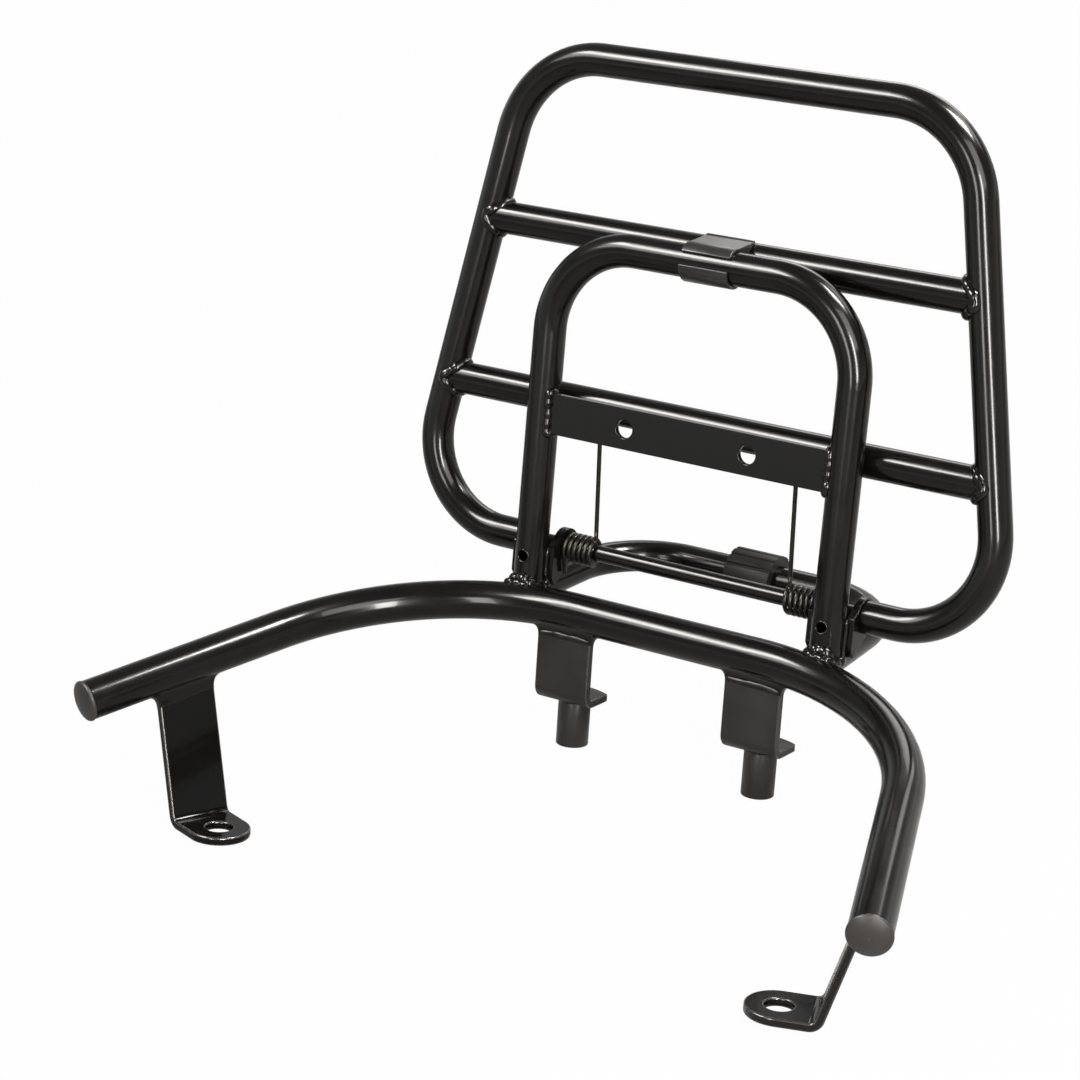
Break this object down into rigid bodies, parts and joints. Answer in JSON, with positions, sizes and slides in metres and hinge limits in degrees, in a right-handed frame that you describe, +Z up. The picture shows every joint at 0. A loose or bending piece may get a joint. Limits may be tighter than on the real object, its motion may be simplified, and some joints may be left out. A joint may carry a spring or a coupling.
{
  "type": "folding luggage rack",
  "caption": "Gloss black tubular luggage rack with a horseshoe rail, an upright hoop, a small rear loop and a sprung platform that folds down to the rear.",
  "frame": {"origin": "middle of the footprint, on the surface the rack stands on", "axes": "+X to the right across the rack, +Y to its rear, +Z up; the horseshoe rail is level and opens to the front"},
  "size_m": [0.4298, 0.2884, 0.3278],
  "materials": {
    "paint": "gloss black paint over steel",
    "rod": "gloss black steel rod and bushes",
    "spring": "blackened spring wire",
    "cap": "matte dark grey plastic",
    "rubber": "matte ribbed rubber",
    "clip": "satin dark grey plastic"
  },
  "bodies": {
    "frame": {"main_rail": "paint", "end_cap_left": "cap", "end_cap_right": "cap", "side_bracket_left": "paint", "side_bracket_right": "paint", "rear_bracket_left": "paint", "rear_bracket_right": "paint", "rear_spacer_left": "paint", "rear_spacer_right": "paint", "hoop": "paint", "cross_plate": "paint", "rear_loop": "paint", "rest_pad": "rubber", "inner_ear_left": "paint", "inner_ear_right": "paint", "outer_ear_left": "paint", "outer_ear_right": "paint", "hinge_rod": "rod", "retaining_clip": "clip"},
    "platform": {"hinge_bush_left": "rod", "hinge_bush_right": "rod", "spring_left": "spring", "spring_right": "spring", "platform_loop": "paint", "lower_crossbar": "paint", "upper_crossbar": "paint"}
  },
  "joints": [
    {"name": "platform_fold", "type": "hinge", "parent": "frame", "child": "platform", "pos_m": [0, 0.06897, 0.0915], "axis": [-1, 0, 0], "range_deg": [0, 82], "deforming": ["spring_left", "spring_right"]}
  ]
}
